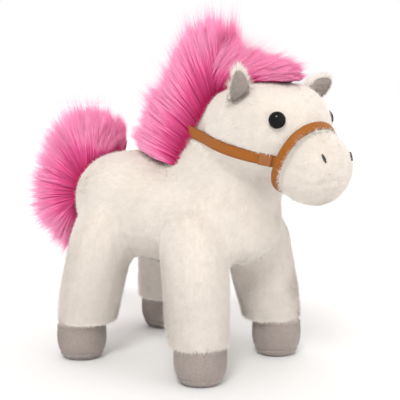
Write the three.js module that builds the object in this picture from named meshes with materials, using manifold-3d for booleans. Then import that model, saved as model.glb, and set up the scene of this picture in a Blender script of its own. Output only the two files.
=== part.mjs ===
import * as THREE from 'three';
import { mergeVertices } from 'three/addons/utils/BufferGeometryUtils.js';
import Module from 'manifold-3d';

const wasm = await Module();
wasm.setup();

// Stuffed plush horse, standing on four hooves, with its head turned a little to its right.
// Millimetres. X runs from tail to nose, Y to the horse's left, Z up from the ground.
// A table whose name ends in share or shares follows the length beside it.

// Cloth, filling and clearances
const pileCloth = 2.4;
const seamGap = 0.3;
const fillingGap = 0.3;
const cutReach = 160;

// How far the sewn joints give each way, in degrees
const neckTurnLimit = 18;
const nodLimit = 8;
const legSwingLimit = 12;
const earFoldLimit = 25;
const tailSwingLimit = 25;

// Trunk: rump to chest along X
const trunkLength = 178;
const rumpPlace = -97;
const trunkMidHeight = 113;
const trunkWidth = 106;
const trunkDepth = 88;
const trunkRiseShares = [0, 0.03, 0.025, -0.015, -0.03, -0.04];
const trunkWidthShares = [0.82, 1, 0.95, 0.93, 0.93, 0.8];
const trunkDepthShares = [0.9, 1.02, 0.95, 0.92, 0.92, 0.95];

// Hips: each leg swings on a line through its hip, and swells into a shoulder or haunch round it
const hipHeight = 101;
const hipSpread = 37;
const foreHipPlace = 38;
const hindHipPlace = -44;
const shoulderRise = 23;

// Legs and hooves
const footSpread = 49;
const foreFootPlace = 53;
const hindFootPlace = -60;
const ankleHeight = 26;
const kneeHeight = 60;
const kneeSpread = 44;
const foreKneePlace = 45.5;
const hindKneePlace = -52;
// A soft toy never stands quite square: the left hind foot is set back and out
const leftHindBack = 12;
const leftHindOut = 16;
const legWidth = 52;
const legWidthShares = [1.12, 1.1, 1, 0.93, 0.87, 0.8];
const legEndFullness = 8;
const hoofHeight = 25;
const hoofWidth = 37;
const hoofCloth = 1.8;
const hoofTaperShare = 0.96;
const soleDepth = 4.2;
const soleFlatShare = 0.76;
const soleEdgeShare = 0.93;
const soleBulgeShare = 0.98;
const soleRiseShares = [0.35, 0.7];

// Closing seam under the belly
const closingPlace = -10;
const closingLength = 30;
const closingGap = 1;
const stitchCount = 6;
const stitchLength = 4.5;
const threadWidth = 0.9;

// Neck: rises forward from a flat seam that runs from the withers to the chest
const withersPlace = -5;
const withersHeight = 152;
const chestSeamPlace = 77;
const chestSeamHeight = 114;
const neckWidth = 74;
const neckDepth = 88;
const neckFoot = new THREE.Vector3(30, 0, 98);
const neckWaist = new THREE.Vector3(41, 0, 140);
const neckTop = new THREE.Vector3(60, 2, 190);
const neckWidthShares = [1.2, 1.16, 1, 0.92];
const neckDepthShares = [0.94, 0.96, 0.93, 0.84];

// Head: its own frame has X to the nose, and stands at the head place, turned to the right
const headPlace = new THREE.Vector3(55, 0, 160);
const headTurn = -12;
const skullLength = 97;
const skullWidth = 84;
const skullDepth = 66;
const skullMiddle = new THREE.Vector3(22, 0, 16);
const skullRiseShares = [-0.12, -0.03, 0.02, 0.05, 0.09];
const skullWidthShares = [0.94, 1, 1, 0.96];
const skullDepthShares = [0.98, 1.04, 1, 0.9];
const neckHoleWidth = 40;
const neckHolePlace = 12;
const nodPlace = new THREE.Vector3(15, 0, 14);

// Muzzle: a plump ball sewn to the front of the skull
const muzzleLength = 54;
const muzzleWidth = 54;
const muzzleDepth = 54;
const muzzleMiddle = new THREE.Vector3(68.5, 0, -8);
const muzzleTilt = 14;
const muzzleWidthShares = [0.96, 1, 1.02];
const muzzleDepthShares = [1.05, 1.02, 0.98];

// Ears: a cloth leaf with a lining set into its front
const earHeight = 29;
const earWidth = 19;
const earThickness = 8;
const earRootSunk = 5;
const earWidthShares = [0.9, 1.02, 0.86, 0.5];
const earThicknessShares = [1, 1, 0.9, 0.7];
const liningHeight = 25.5;
const liningWidth = 13.5;
const liningThickness = 5;
const liningForward = 3.4;
const liningRise = 4.5;
const ears = {
  right: { root: new THREE.Vector3(30, -31, 31.5), lean: 8, facing: -38 },
  left: { root: new THREE.Vector3(30, 31.5, 39), lean: 66, facing: 4 },
};

// Eyes: a plastic dome on a ribbed shank, held by a washer inside the cloth
const eyeRadius = 6.1;
const eyeDome = 4.4;
const eyeRim = 0.9;
const eyeSunk = 0.6;
const shankRadius = 1.6;
const shankLength = 9;
const washerRadius = 6.6;
const washerThickness = 1.3;
const eyeBearings = { right: 35.5, left: 54 };
const eyeRise = 9.8;

// Nostrils: short satin stitches
const nostrilLength = 6.4;
const nostrilWidth = 1.5;
const nostrilBearing = 33;
const nostrilRise = 18;
const nostrilSlant = -22;

// Bridle of flat strap: a noseband, and a strap from it round the back of the head under the mane
const strapWidth = 8;
const strapThickness = 1.2;
const nosebandPlace = new THREE.Vector3(60, 0, -4);
const nosebandTilt = 29;
const cheekStrapFront = new THREE.Vector3(58, 0, -5);
const cheekStrapBack = new THREE.Vector3(-24, 0, 15);
const foldPlace = new THREE.Vector3(49, 0, -4);
const foldSlant = -14;
const foldLength = 9;
const foldThickness = 1.4;

// Long pile: half its length is the depth of each form, and its middle line runs between root and tips
const maneWidth = 52;
const pollAngle = 45;
const maneHair = 82;
const maneHairShares = [0.42, 0.92, 0.96, 1.26, 0.52, 0.44];
const maneWidthShares = [0.7, 1, 1, 0.9, 0.76, 0.66];
const maneLine = [
  new THREE.Vector3(-43, 0, 163),
  new THREE.Vector3(-12, 0, 171),
  new THREE.Vector3(16, 0, 191),
  new THREE.Vector3(45, 0, 214),
  new THREE.Vector3(67, -1, 216),
  new THREE.Vector3(101, -8, 213),
];
const tailHair = 52;
const tailWidth = 42;
const tailHairShares = [0.66, 1, 1, 0.96, 0.6];
const tailWidthShares = [0.8, 1, 1.1, 1, 0.7];
const tailRootPlace = -80;
const tailLine = [
  new THREE.Vector3(-68, 0, 149),
  new THREE.Vector3(-86, 0, 171),
  new THREE.Vector3(-113, 0, 155),
  new THREE.Vector3(-131, 0, 111),
  new THREE.Vector3(-118, 0, 68),
];

const ahead = new THREE.Vector3(1, 0, 0);
const leftward = new THREE.Vector3(0, 1, 0);
const upward = new THREE.Vector3(0, 0, 1);
const rad = THREE.MathUtils.degToRad;

// Solids: three.js geometry to a manifold for joining and cutting, and back again
function solid(geometry) {
  const bare = geometry.clone();
  bare.deleteAttribute('normal');
  bare.deleteAttribute('uv');
  const merged = mergeVertices(bare, 1e-4);
  return new wasm.Manifold(new wasm.Mesh({
    numProp: 3,
    vertProperties: new Float32Array(merged.attributes.position.array),
    triVerts: new Uint32Array(merged.index.array),
  }));
}

function geometryOf(body) {
  const mesh = body.getMesh();
  const geometry = new THREE.BufferGeometry();
  geometry.setAttribute('position', new THREE.BufferAttribute(mesh.vertProperties, 3));
  geometry.setIndex(new THREE.BufferAttribute(mesh.triVerts, 1));
  geometry.computeVertexNormals();
  return geometry;
}

function moved(body, matrix) {
  return body.transform(matrix.elements);
}

function turnAbout(centre, axis, angle) {
  const there = new THREE.Matrix4().makeTranslation(centre);
  const turn = new THREE.Matrix4().makeRotationAxis(axis, rad(angle));
  const back = new THREE.Matrix4().makeTranslation(centre.clone().negate());
  return there.multiply(turn).multiply(back);
}

// The space that a body passes through as it turns each way to its limit
function swept(body, centre, axis, limit, steps = 1) {
  return Array.from({ length: 2 * steps + 1 }, (_, index) => (limit * (index - steps)) / steps)
    .map((angle) => moved(body, turnAbout(centre, axis, angle)))
    .reduce((sum, there) => sum.add(there));
}

function block(size, centre, tilt = 0) {
  const geometry = new THREE.BoxGeometry(size.x, size.y, size.z);
  geometry.rotateY(rad(tilt));
  geometry.translate(centre.x, centre.y, centre.z);
  return solid(geometry);
}

// A smooth run of values through evenly spaced shares, times the length that they follow
function blended(shares, length) {
  const line = new THREE.CatmullRomCurve3(shares.map((share) => new THREE.Vector3(share, 0, 0)), false, 'catmullrom');
  return (along) => line.getPoint(along).x * length;
}

// A stuffed form: rings round a curved spine, drawn in to a point at both ends, grown by a margin
function stuffed(form, grow = 0) {
  const { spine, width, depth, fullness, fullnessEnd = fullness, corners = 2, sides, rings } = form;
  const curve = new THREE.CatmullRomCurve3(spine);
  const points = [];
  for (let ring = 0; ring <= rings; ring++) {
    const reach = -Math.cos((Math.PI * ring) / rings);
    const along = (1 + reach) / 2;
    const power = reach < 0 ? fullness : fullnessEnd;
    const drawn = Math.max(0, 1 - Math.abs(reach) ** power) ** (1 / power);
    const onward = curve.getTangentAt(along);
    const centre = curve.getPointAt(along).addScaledVector(onward, grow * reach);
    const side = leftward.clone().addScaledVector(onward, -leftward.dot(onward)).normalize();
    const rise = onward.clone().cross(side);
    const halfWidth = (width(along) / 2 + grow) * drawn;
    const halfDepth = (depth(along) / 2 + grow) * drawn;
    const count = ring === 0 || ring === rings ? 1 : sides;
    for (let step = 0; step < count; step++) {
      const angle = (2 * Math.PI * step) / sides;
      const sideways = Math.sign(Math.cos(angle)) * Math.abs(Math.cos(angle)) ** (2 / corners);
      const upwards = Math.sign(Math.sin(angle)) * Math.abs(Math.sin(angle)) ** (2 / corners);
      points.push(centre.clone()
        .addScaledVector(side, count === 1 ? 0 : halfWidth * sideways)
        .addScaledVector(rise, count === 1 ? 0 : halfDepth * upwards));
    }
  }
  const faces = [];
  const at = (ring, step) => 1 + (ring - 1) * sides + (step % sides);
  const last = points.length - 1;
  for (let step = 0; step < sides; step++) {
    faces.push(0, at(1, step + 1), at(1, step));
    faces.push(last, at(rings - 1, step), at(rings - 1, step + 1));
    for (let ring = 1; ring < rings - 1; ring++) {
      faces.push(at(ring, step), at(ring, step + 1), at(ring + 1, step + 1));
      faces.push(at(ring, step), at(ring + 1, step + 1), at(ring + 1, step));
    }
  }
  const geometry = new THREE.BufferGeometry().setFromPoints(points);
  geometry.setIndex(faces);
  return solid(geometry);
}

// A body of revolution about Z from points of radius and height
function turned(profile, sides) {
  return solid(new THREE.LatheGeometry(profile.map(([radius, height]) => new THREE.Vector2(radius, height)), sides)
    .rotateX(Math.PI / 2));
}

function finish(color, roughness) {
  return new THREE.MeshStandardMaterial({ color, roughness, metalness: 0 });
}

const whitePlush = finish(0xf3ece2, 0.95);
const greyPlush = finish(0xa8a09b, 0.95);
const pinkPile = finish(0xef4f97, 0.8);
const filling = finish(0xfafafa, 1);
const brownStrap = finish(0xa4672f, 0.55);
const blackPlastic = finish(0x0b0b0c, 0.12);
const darkThread = finish(0x3a3532, 0.8);
const whiteThread = finish(0xe9e2d6, 0.8);

const horse = new THREE.Group();

function add(group, name, body, material) {
  const mesh = new THREE.Mesh(geometryOf(body), material);
  mesh.name = name;
  group.add(mesh);
}

// Where a ray from inside a body leaves it, with the outward direction there
function leaves(body, from, direction) {
  const mesh = new THREE.Mesh(geometryOf(body), new THREE.MeshBasicMaterial({ side: THREE.BackSide }));
  const hit = new THREE.Raycaster(from, direction).intersectObject(mesh).pop();
  return { point: hit.point, normal: hit.face.normal.clone() };
}

// A frame at a place, whose Z points along a direction and whose Y rises as far as it can
function standing(place, direction) {
  const side = upward.clone().cross(direction).normalize();
  return new THREE.Matrix4().makeBasis(side, direction.clone().cross(side), direction).setPosition(place);
}

const trunkForm = {
  spine: trunkRiseShares.map((share, index) => new THREE.Vector3(
    rumpPlace + (trunkLength * index) / (trunkRiseShares.length - 1), 0, trunkMidHeight + share * trunkDepth)),
  width: blended(trunkWidthShares, trunkWidth),
  depth: blended(trunkDepthShares, trunkDepth),
  fullness: 2.5,
  fullnessEnd: 3,
  corners: 2.35,
  sides: 20,
  rings: 16,
};

const stance = { left_hind: { back: leftHindBack, out: leftHindOut } };
const legs = {};
for (const [end, hipPlace, kneePlace, footPlace] of [
  ['fore', foreHipPlace, foreKneePlace, foreFootPlace],
  ['hind', hindHipPlace, hindKneePlace, hindFootPlace],
]) {
  for (const [side, sign] of [['right', -1], ['left', 1]]) {
    const { back = 0, out = 0 } = stance[`${side}_${end}`] ?? {};
    legs[`${side}_${end}`] = {
      hip: new THREE.Vector3(hipPlace, sign * hipSpread, hipHeight),
      knee: new THREE.Vector3(kneePlace - back / 2, sign * (kneeSpread + out / 2), kneeHeight),
      foot: new THREE.Vector3(footPlace - back, sign * (footSpread + out), 0),
    };
  }
}

const seamRun = new THREE.Vector3(chestSeamPlace - withersPlace, 0, chestSeamHeight - withersHeight);
const seamMiddle = new THREE.Vector3(withersPlace, 0, withersHeight).addScaledVector(seamRun, 1 / 2);
const seamTilt = THREE.MathUtils.radToDeg(Math.atan2(-seamRun.z, seamRun.x));
const seamNormal = upward.clone().applyAxisAngle(leftward, rad(seamTilt));

function sideOfSeam(sign, gap) {
  const size = new THREE.Vector3(2 * cutReach, 2 * cutReach, cutReach);
  const centre = seamMiddle.clone().addScaledVector(seamNormal, sign * (gap + cutReach / 2));
  return block(size, centre, seamTilt);
}

const trunkInside = { ...trunkForm, sides: 14, rings: 10 };
const trunkOutside = stuffed(trunkForm);
const belowSeam = sideOfSeam(-1, 0);
const aboveSeam = sideOfSeam(1, seamGap);
const bellyHeight = Math.min(...[-1, 0, 1].map((end) => leaves(trunkOutside,
  new THREE.Vector3(closingPlace + (end * closingLength) / 2, 0, trunkMidHeight), upward.clone().negate()).point.z));
const slot = block(new THREE.Vector3(closingLength, closingGap, 4 * pileCloth),
  new THREE.Vector3(closingPlace, 0, bellyHeight));
add(horse, 'trunk_cover',
  trunkOutside.intersect(belowSeam).subtract(stuffed(trunkInside, -pileCloth)).subtract(slot), whitePlush);
add(horse, 'trunk_filling', stuffed(trunkInside, -pileCloth - fillingGap).intersect(belowSeam), filling);

// Ladder stitches across the closing seam, on one running thread
const threadHeight = bellyHeight - seamGap - threadWidth / 2;
const runningThread = block(new THREE.Vector3(closingLength, threadWidth, threadWidth),
  new THREE.Vector3(closingPlace, 0, threadHeight));
add(horse, 'closing_stitches', Array.from({ length: stitchCount }, (_, index) => block(
  new THREE.Vector3(threadWidth, stitchLength, threadWidth),
  new THREE.Vector3(closingPlace + closingLength * ((index + 1 / 2) / stitchCount - 1 / 2), 0, threadHeight),
)).reduce((sum, stitch) => sum.add(stitch), runningThread), whiteThread);

// Legs: a cloth tube over its filling, on a hoof with a side wall and a padded sole
const ground = new THREE.Vector3(0, 0, 0);
const legInside = { sides: 10, rings: 9 };
const aboveHoof = block(new THREE.Vector3(4 * cutReach, 2 * cutReach, cutReach),
  ground.clone().setZ(hoofHeight + seamGap + cutReach / 2));
const trunkClear = stuffed(trunkForm, seamGap);

for (const [name, leg] of Object.entries(legs)) {
  const group = new THREE.Group();
  group.position.copy(leg.foot);
  horse.add(group);
  const home = new THREE.Matrix4().makeTranslation(leg.foot.clone().negate());
  const ankle = leg.foot.clone().lerp(leg.knee, 1 / 3).setZ(ankleHeight);
  const above = leg.hip.clone().addScaledVector(leg.hip.clone().sub(leg.knee).normalize(), shoulderRise);
  const form = {
    spine: [above, leg.hip, leg.knee, ankle, leg.foot],
    width: blended(legWidthShares, legWidth),
    depth: blended(legWidthShares, legWidth),
    fullness: 2.6,
    fullnessEnd: legEndFullness,
    sides: 14,
    rings: 11,
  };
  const clear = swept(trunkClear, leg.hip, leftward, legSwingLimit);
  const hollow = stuffed({ ...form, ...legInside }, -pileCloth);
  const hoofInside = hoofWidth / 2 - hoofCloth;
  const low = soleDepth + seamGap;
  const topInside = hoofTaperShare * hoofInside - 2 * fillingGap;
  const plug = (grow) => turned([
    [0, low - grow], [topInside + grow, low - grow], [topInside + grow, hoofHeight + hoofCloth + grow],
    [0, hoofHeight + hoofCloth + grow],
  ], 10);
  const cover = stuffed(form).intersect(aboveHoof).subtract(clear).subtract(hollow)
    .subtract(moved(plug(fillingGap), new THREE.Matrix4().makeTranslation(leg.foot)));
  const wall = turned([
    [hoofInside, low], [hoofWidth / 2 - hoofCloth / 2, low], [hoofWidth / 2, low + hoofCloth],
    [hoofWidth / 2, (low + hoofHeight) / 2], [(hoofTaperShare * hoofWidth) / 2, hoofHeight - hoofCloth / 2],
    [(hoofTaperShare * hoofWidth) / 2 - hoofCloth / 2, hoofHeight], [hoofTaperShare * hoofInside, hoofHeight],
    [hoofInside, low],
  ], 16);
  const sole = turned([
    [0, 0], [(soleFlatShare * hoofWidth) / 2, 0], [(soleEdgeShare * hoofWidth) / 2, soleRiseShares[0] * soleDepth],
    [(soleBulgeShare * hoofWidth) / 2, soleRiseShares[1] * soleDepth],
    [(soleEdgeShare * hoofWidth) / 2, soleDepth], [0, soleDepth],
  ], 16);
  const legFilling = stuffed({ ...form, ...legInside }, -pileCloth - fillingGap)
    .intersect(aboveHoof).subtract(clear);
  add(group, `${name}_leg_cover`, moved(cover, home), whitePlush);
  add(group, `${name}_leg_filling`, moved(legFilling, home).add(plug(0)), filling);
  add(group, `${name}_hoof_wall`, wall, greyPlush);
  add(group, `${name}_hoof_sole`, sole, greyPlush);
}

// Head forms, in the head's own frame
const headFrame = new THREE.Matrix4().makeRotationZ(rad(headTurn)).setPosition(headPlace);
const headBack = headFrame.clone().invert();
const headGroup = new THREE.Group();
headGroup.position.copy(headPlace);
headGroup.rotation.z = rad(headTurn);
horse.add(headGroup);

const skullForm = {
  spine: skullRiseShares.map((share, index) => skullMiddle.clone()
    .addScaledVector(ahead, skullLength * (index / (skullRiseShares.length - 1) - 1 / 2))
    .addScaledVector(upward, skullDepth * share)),
  width: blended(skullWidthShares, skullWidth),
  depth: blended(skullDepthShares, skullDepth),
  fullness: 2.15,
  fullnessEnd: 2.3,
  corners: 2.4,
  sides: 18,
  rings: 14,
};
const noseward = ahead.clone().applyAxisAngle(leftward, rad(muzzleTilt));
const muzzleForm = {
  spine: [-1, 0, 1].map((end) => muzzleMiddle.clone().addScaledVector(noseward, (end * muzzleLength) / 2)),
  width: blended(muzzleWidthShares, muzzleWidth),
  depth: blended(muzzleDepthShares, muzzleDepth),
  fullness: 2.1,
  corners: 2.2,
  sides: 16,
  rings: 12,
};
const skullInside = { ...skullForm, sides: 12, rings: 10 };
const muzzleInside = { ...muzzleForm, sides: 12, rings: 8 };
const skull = stuffed(skullForm);
const skullClear = stuffed(skullForm, seamGap);
const muzzleClear = stuffed(muzzleForm, seamGap);
const headClear = skullClear.add(muzzleClear);

// Bridle: each strap is the slice of a thin layer that lies on the head
const layer = (form) => stuffed(form, seamGap + strapThickness);
const nosebandLoop = (head, wider) => head.intersect(block(
  new THREE.Vector3(strapWidth + wider, 2 * muzzleWidth, 2 * muzzleDepth), nosebandPlace, nosebandTilt)).hull();
const noseband = nosebandLoop(layer(skullForm).add(layer(muzzleForm)), 0)
  .subtract(nosebandLoop(headClear, seamGap));
const strapRun = cheekStrapFront.clone().sub(cheekStrapBack);
const strapTilt = THREE.MathUtils.radToDeg(Math.atan2(-strapRun.z, strapRun.x));
const strapSlice = block(new THREE.Vector3(2 * skullLength, 2 * skullWidth, strapWidth),
  cheekStrapFront.clone().add(cheekStrapBack).divideScalar(2), strapTilt);
const behindNoseband = block(new THREE.Vector3(cutReach, cutReach, cutReach), nosebandPlace.clone().addScaledVector(
  ahead.clone().applyAxisAngle(leftward, rad(nosebandTilt)), -(cutReach + strapWidth) / 2 - seamGap), nosebandTilt);
const strapLayer = (grow) => stuffed(skullForm, seamGap + strapThickness + grow)
  .intersect(strapSlice).intersect(behindNoseband);
const cheekStrap = strapLayer(0).subtract(headClear);
const strapClear = strapLayer(seamGap);

// A resting place on a body: the outward direction there is taken over a span, as a cloth surface is smooth
function seat(body, from, direction, span) {
  const side = direction.clone().cross(upward).normalize();
  const rise = side.clone().cross(direction);
  const at = (sideways, upwards) => leaves(body, from.clone().addScaledVector(side, sideways * span)
    .addScaledVector(rise, upwards * span), direction).point;
  const normal = at(0, 1).sub(at(0, -1)).cross(at(1, 0).sub(at(-1, 0))).normalize();
  return { point: at(0, 0), normal };
}

function heading(bearing, lift) {
  return ahead.clone().applyAxisAngle(leftward, -rad(lift)).applyAxisAngle(upward, rad(bearing));
}

// Eyes, washers and nostrils, with the pockets that they need in the cloth and the filling
const eyeProfile = (grow) => [
  [0, -shankLength - grow], [shankRadius + grow, -shankLength - grow], [shankRadius + grow, -grow],
  [eyeRadius + grow, -grow], [eyeRadius + grow, eyeRim + grow],
  ...[0.25, 0.5, 0.75].map((share) => [
    (eyeRadius + grow) * Math.cos((share * Math.PI) / 2),
    eyeRim + grow + (eyeDome - eyeRim) * Math.sin((share * Math.PI) / 2)]),
  [0, eyeDome + grow],
];
const washerTop = eyeSunk - pileCloth - washerRadius ** 2 / skullWidth - 2 * seamGap;
const washerInside = shankRadius + seamGap;
let headCloth = skull.subtract(stuffed(skullInside, -pileCloth));
let headFilling = stuffed(skullInside, -pileCloth - fillingGap);
let muzzleCloth = stuffed(muzzleForm).subtract(stuffed(muzzleInside, -pileCloth)).subtract(skullClear);
for (const [side, sign] of [['right', -1], ['left', 1]]) {
  const eyeSeat = seat(skull, skullMiddle, heading(sign * eyeBearings[side], eyeRise), eyeRadius);
  const place = standing(eyeSeat.point.clone().addScaledVector(eyeSeat.normal, -eyeSunk), eyeSeat.normal);
  const pocket = (top) => moved(turned([
    [0, -shankLength - 2 * seamGap], [washerRadius + seamGap, -shankLength - 2 * seamGap],
    [washerRadius + seamGap, top], [0, top],
  ], 12), place);
  headCloth = headCloth.subtract(moved(turned(eyeProfile(seamGap), 14), place)).subtract(pocket(washerTop + seamGap));
  headFilling = headFilling.subtract(pocket(0));
  add(headGroup, `${side}_eye`, moved(turned(eyeProfile(0), 14), place), blackPlastic);
  add(headGroup, `${side}_eye_washer`, moved(turned([
    [washerInside, washerTop - washerThickness], [washerRadius, washerTop - washerThickness],
    [washerRadius, washerTop], [washerInside, washerTop], [washerInside, washerTop - washerThickness],
  ], 12), place), finish(0xdedad2, 0.5));

  const nostrilSeat = seat(stuffed(muzzleForm), muzzleMiddle, heading(sign * nostrilBearing, nostrilRise),
    nostrilLength / 2);
  const bead = new THREE.SphereGeometry(1, 8, 6);
  bead.scale(nostrilWidth / 2, nostrilLength / 2, nostrilWidth / 2);
  bead.rotateZ(rad(sign * nostrilSlant));
  const stitch = moved(solid(bead), standing(nostrilSeat.point, nostrilSeat.normal));
  add(headGroup, `${side}_nostril_stitch`, stitch.subtract(muzzleClear), darkThread);

  const foldSeat = seat(layer(skullForm), skullMiddle.clone().setZ(foldPlace.z).setX(foldPlace.x),
    leftward.clone().multiplyScalar(sign), foldLength / 2);
  const fold = new THREE.BoxGeometry(foldLength, strapWidth, foldThickness);
  fold.rotateZ(-sign * rad(foldSlant));
  add(headGroup, `${side}_strap_fold`, moved(solid(fold), standing(foldSeat.point.addScaledVector(
    foldSeat.normal, seamGap + foldThickness / 2), foldSeat.normal)), brownStrap);
}
const neckHole = turned([[0, -skullDepth], [neckHoleWidth / 2, -skullDepth], [neckHoleWidth / 2, 0], [0, 0]], 12);
headCloth = headCloth.subtract(moved(neckHole, new THREE.Matrix4().makeTranslation(neckHolePlace, 0, 0)));
add(headGroup, 'head_cover', headCloth, whitePlush);
add(headGroup, 'head_filling', headFilling, filling);
add(headGroup, 'muzzle_cover', muzzleCloth, whitePlush);
add(headGroup, 'muzzle_filling', stuffed(muzzleInside, -pileCloth - fillingGap).subtract(skullClear), filling);
add(headGroup, 'noseband', noseband, brownStrap);
add(headGroup, 'cheek_strap', cheekStrap, brownStrap);

// Ears: each folds about the line of its root
for (const [side, ear] of Object.entries(ears)) {
  const sign = side === 'right' ? -1 : 1;
  const turn = new THREE.Quaternion().setFromAxisAngle(ahead, rad(-sign * ear.lean))
    .multiply(new THREE.Quaternion().setFromAxisAngle(upward, rad(ear.facing)));
  const group = new THREE.Group();
  group.position.copy(ear.root);
  group.quaternion.copy(turn);
  headGroup.add(group);
  group.updateMatrix();
  const skullThere = swept(moved(skullClear, group.matrix.clone().invert()), ground, leftward, earFoldLimit);
  const leaf = (height, width, thickness, forward, low) => ({
    spine: [-earRootSunk + low, low + height / 3, low + (2 * height) / 3, low + height].map((rise) =>
      new THREE.Vector3(forward, 0, rise)),
    width: blended(earWidthShares, width),
    depth: blended(earThicknessShares, thickness),
    fullness: 2.6,
    sides: 12,
    rings: 9,
  });
  const outer = stuffed(leaf(earHeight, earWidth, earThickness, 0, 0));
  const liningForm = leaf(liningHeight - liningRise, liningWidth, liningThickness, liningForward, liningRise);
  add(group, `${side}_ear_outer`, outer.subtract(stuffed(liningForm, seamGap)).subtract(skullThere), whitePlush);
  add(group, `${side}_ear_lining`, stuffed(liningForm).subtract(skullThere), greyPlush);
}

// Neck: open to the trunk below and to the head above
const nodCentre = nodPlace.clone().applyMatrix4(headFrame);
const nodAxis = leftward.clone().transformDirection(headFrame);
const neckForm = {
  spine: [neckFoot, neckWaist, neckTop],
  width: blended(neckWidthShares, neckWidth),
  depth: blended(neckDepthShares, neckDepth),
  fullness: 5,
  corners: 2.2,
  sides: 18,
  rings: 12,
};
const neckInside = { ...neckForm, sides: 12, rings: 8 };
const nodSteps = 3;
const headSweep = swept(moved(headClear.add(strapClear), headFrame), nodCentre, nodAxis, nodLimit, nodSteps);
add(horse, 'neck_cover', stuffed(neckForm).intersect(aboveSeam).subtract(headSweep)
  .subtract(stuffed(neckInside, -pileCloth)), whitePlush);
const skullRoom = moved(stuffed(skullInside, pileCloth), headFrame);
add(horse, 'neck_filling', stuffed(neckInside, -pileCloth - fillingGap).intersect(aboveSeam)
  .subtract(swept(skullRoom, nodCentre, nodAxis, nodLimit)), filling);

// Mane: the long pile behind the poll stands on the neck, and the forelock ahead of it on the head
const maneForm = {
  spine: maneLine,
  width: blended(maneWidthShares, maneWidth),
  depth: blended(maneHairShares, maneHair),
  fullness: 3,
  sides: 12,
  rings: 18,
};
const neckClear = stuffed(neckForm, seamGap);
const maneFree = stuffed(maneForm).subtract(moved(headClear.add(strapClear), headFrame));
const splitPlane = (sign, gap) => {
  const away = heading(0, pollAngle).transformDirection(headFrame);
  const centre = nodCentre.clone().addScaledVector(away, sign * (gap + cutReach / 2));
  const turn = new THREE.Quaternion().setFromUnitVectors(ahead, away);
  return moved(block(new THREE.Vector3(cutReach, 2 * cutReach, 4 * cutReach), ground),
    new THREE.Matrix4().compose(centre, turn, new THREE.Vector3(1, 1, 1)));
};
const trunkTurned = swept(stuffed(trunkForm, seamGap), seamMiddle, seamNormal, neckTurnLimit);
add(horse, 'mane', maneFree.intersect(splitPlane(-1, seamGap)).subtract(neckClear).subtract(trunkTurned), pinkPile);
add(headGroup, 'forelock', moved(maneFree.intersect(splitPlane(1, 0))
  .subtract(swept(neckClear, nodCentre, nodAxis, nodLimit)), headBack), pinkPile);

// Tail: a plume of long pile sewn to the top of the rump
const tailForm = {
  spine: tailLine,
  width: blended(tailWidthShares, tailWidth),
  depth: blended(tailHairShares, tailHair),
  fullness: 2.6,
  sides: 12,
  rings: 12,
};
const tailRoot = new THREE.Vector3(tailRootPlace, 0, 0);
add(horse, 'tail', stuffed(tailForm).subtract(swept(stuffed(trunkForm, seamGap), tailRoot, upward, tailSwingLimit)),
  pinkPile);

// The origin lies on the ground under the middle of the whole horse
horse.updateMatrixWorld(true);
const reach = new THREE.Box3().setFromObject(horse, true);
horse.position.set(-(reach.min.x + reach.max.x) / 2, -(reach.min.y + reach.max.y) / 2, -reach.min.z);

export default horse;
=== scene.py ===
import math

import bmesh
import bpy
import numpy as np
from mathutils import Matrix, Vector
from mathutils.bvhtree import BVHTree


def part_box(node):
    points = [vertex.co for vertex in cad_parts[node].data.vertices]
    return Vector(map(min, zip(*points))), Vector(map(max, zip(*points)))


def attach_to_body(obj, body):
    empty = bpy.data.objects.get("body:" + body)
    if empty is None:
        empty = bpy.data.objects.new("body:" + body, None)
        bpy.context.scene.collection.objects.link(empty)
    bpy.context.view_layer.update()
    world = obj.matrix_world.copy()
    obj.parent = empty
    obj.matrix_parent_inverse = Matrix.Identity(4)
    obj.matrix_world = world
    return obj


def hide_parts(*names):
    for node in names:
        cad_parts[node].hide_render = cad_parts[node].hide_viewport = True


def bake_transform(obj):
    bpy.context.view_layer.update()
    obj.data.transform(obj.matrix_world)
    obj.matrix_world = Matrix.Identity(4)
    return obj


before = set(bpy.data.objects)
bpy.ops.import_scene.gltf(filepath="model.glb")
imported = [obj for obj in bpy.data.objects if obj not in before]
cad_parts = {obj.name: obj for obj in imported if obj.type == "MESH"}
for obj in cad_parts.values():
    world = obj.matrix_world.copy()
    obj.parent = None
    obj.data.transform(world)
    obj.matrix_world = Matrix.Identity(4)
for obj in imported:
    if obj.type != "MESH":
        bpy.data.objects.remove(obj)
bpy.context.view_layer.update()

# Stuffed body: a trunk, neck, head, muzzle and four legs of white short-pile plush over polyester filling.
# The panels are sewn inside out, turned and stuffed, so one cloth skin is drawn over all the forms and dips
# It is cut into a piece for each body, and a piece between two bodies has its place baked into its mesh.

# The horse's own axes: X to the nose and Y to its left, found from its right fore hoof
hoof_ahead, hoof_aside = 0.053, 0.049
head_place, head_turn = Vector((0.055, 0, 0.160)), math.radians(-12)
low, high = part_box("right_fore_hoof_sole")
origin = Vector(((low.x + high.x) / 2 - hoof_ahead, (low.y + high.y) / 2 + hoof_aside, 0))
head_frame = Matrix.Translation(origin + head_place) @ Matrix.Rotation(head_turn, 4, "Z")


class Value:
    """A shader socket that plain sums can be written with."""

    def __init__(self, surface, socket):
        self.surface, self.socket = surface, socket

    def math(self, operation, *others):
        return self.surface.node("ShaderNodeMath", {"operation": operation}, dict(enumerate([self, *others])))

    def __add__(self, other):
        return self.math("ADD", other)

    def __sub__(self, other):
        return self.math("SUBTRACT", other)

    def __mul__(self, other):
        return self.math("MULTIPLY", other)

    def __neg__(self):
        return self * -1

    def __rsub__(self, other):
        return -self + other

    __radd__ = __add__
    __rmul__ = __mul__


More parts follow.
